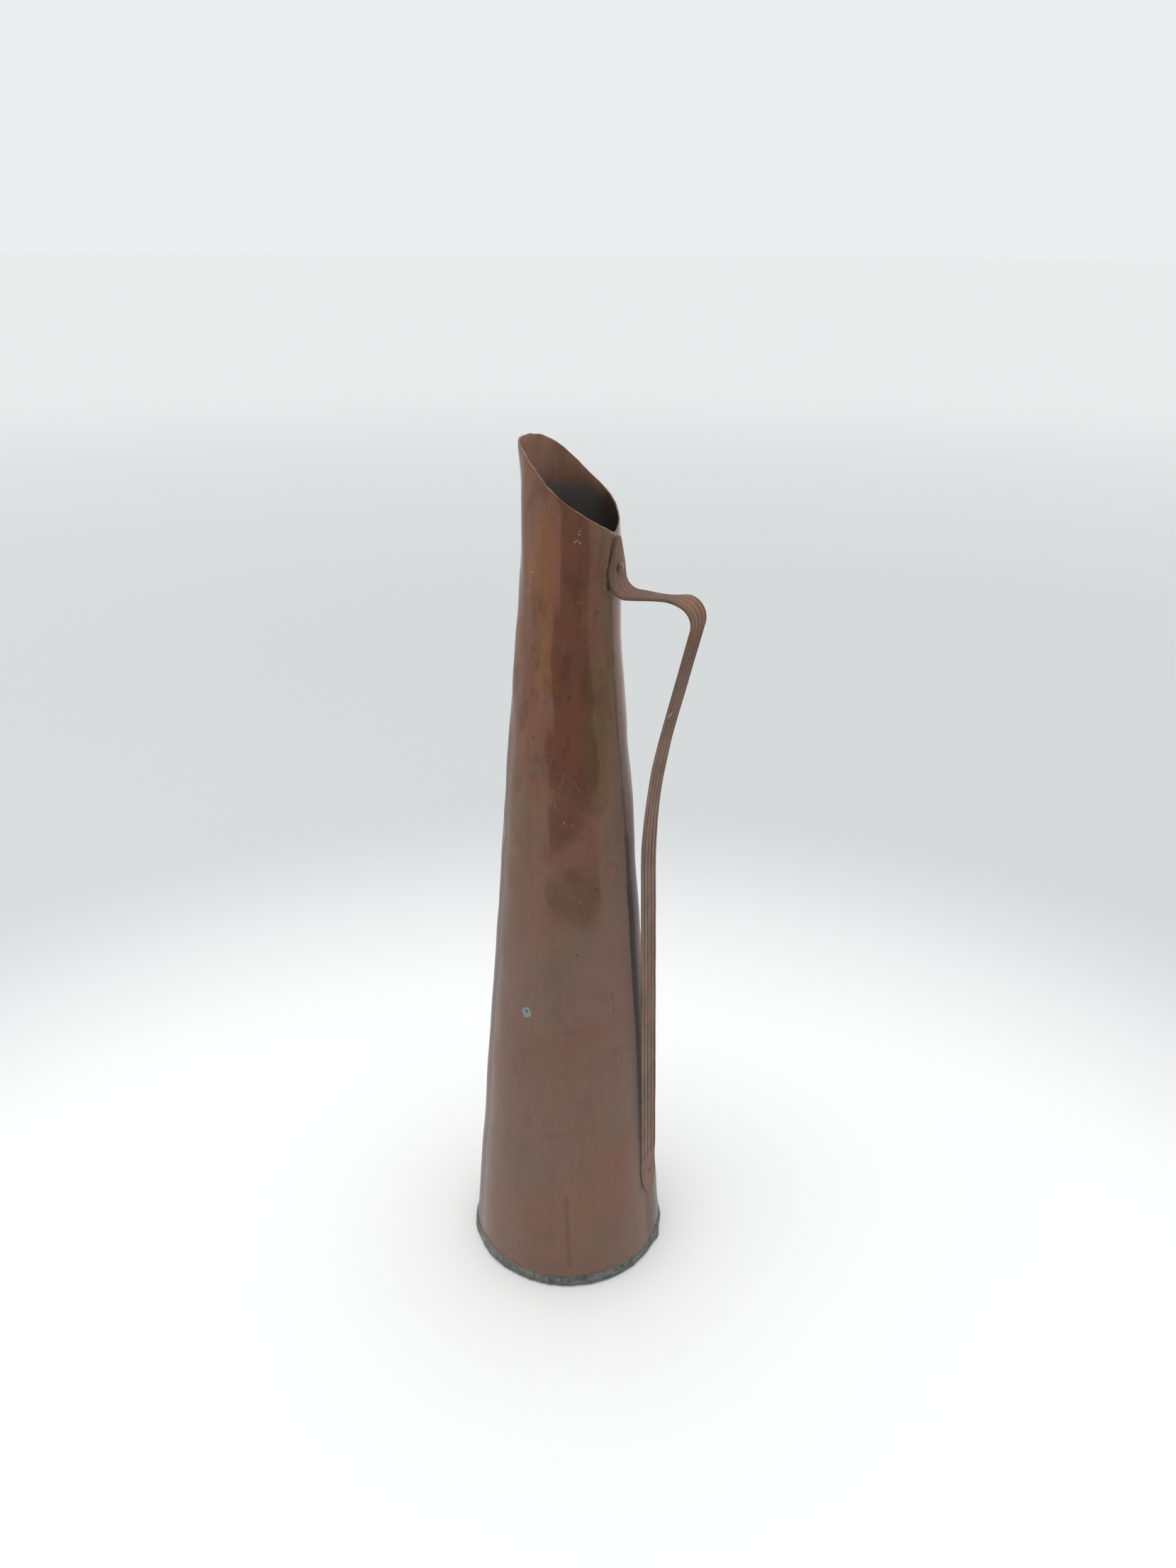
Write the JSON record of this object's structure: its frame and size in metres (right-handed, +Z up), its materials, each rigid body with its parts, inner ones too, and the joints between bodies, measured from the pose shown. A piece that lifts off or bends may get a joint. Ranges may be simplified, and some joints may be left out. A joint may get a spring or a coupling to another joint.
{
  "type": "watering can",
  "caption": "Tall tapered copper watering can with an oblique mouth drawn out to a pouring lip, a soldered base and a fluted strap handle riveted at both ends.",
  "frame": {"origin": "centre of the underside of the base, on the surface that the can stands on", "axes": "+Z up along the can's axis, +X towards the handle, -X towards the pouring lip"},
  "size_m": [0.121, 0.11, 0.4535],
  "materials": {
    "sheet_copper": "aged hand-planished copper under old lacquer, semi-gloss, brown with red and olive patches",
    "strap_copper": "aged copper strap, dull satin, drawn with fine lengthwise flutes, brighter on worn edges",
    "rivet_copper": "aged copper, hammered heads",
    "solder": "dull grey-green tin solder, oxidised and uneven"
  },
  "bodies": {
    "root": {"body_sheet": "sheet_copper", "base_plate": "sheet_copper", "base_solder_band": "solder", "base_inner_fillet": "solder", "seam_braze_bead": "solder", "handle_strap": "strap_copper", "upper_handle_rivet": "rivet_copper", "lower_handle_rivet": "rivet_copper", "seam_rivet": "rivet_copper", "upper_rivet_seal": "solder", "lower_rivet_seal": "solder", "seam_rivet_seal": "solder"}
  },
  "joints": []
}
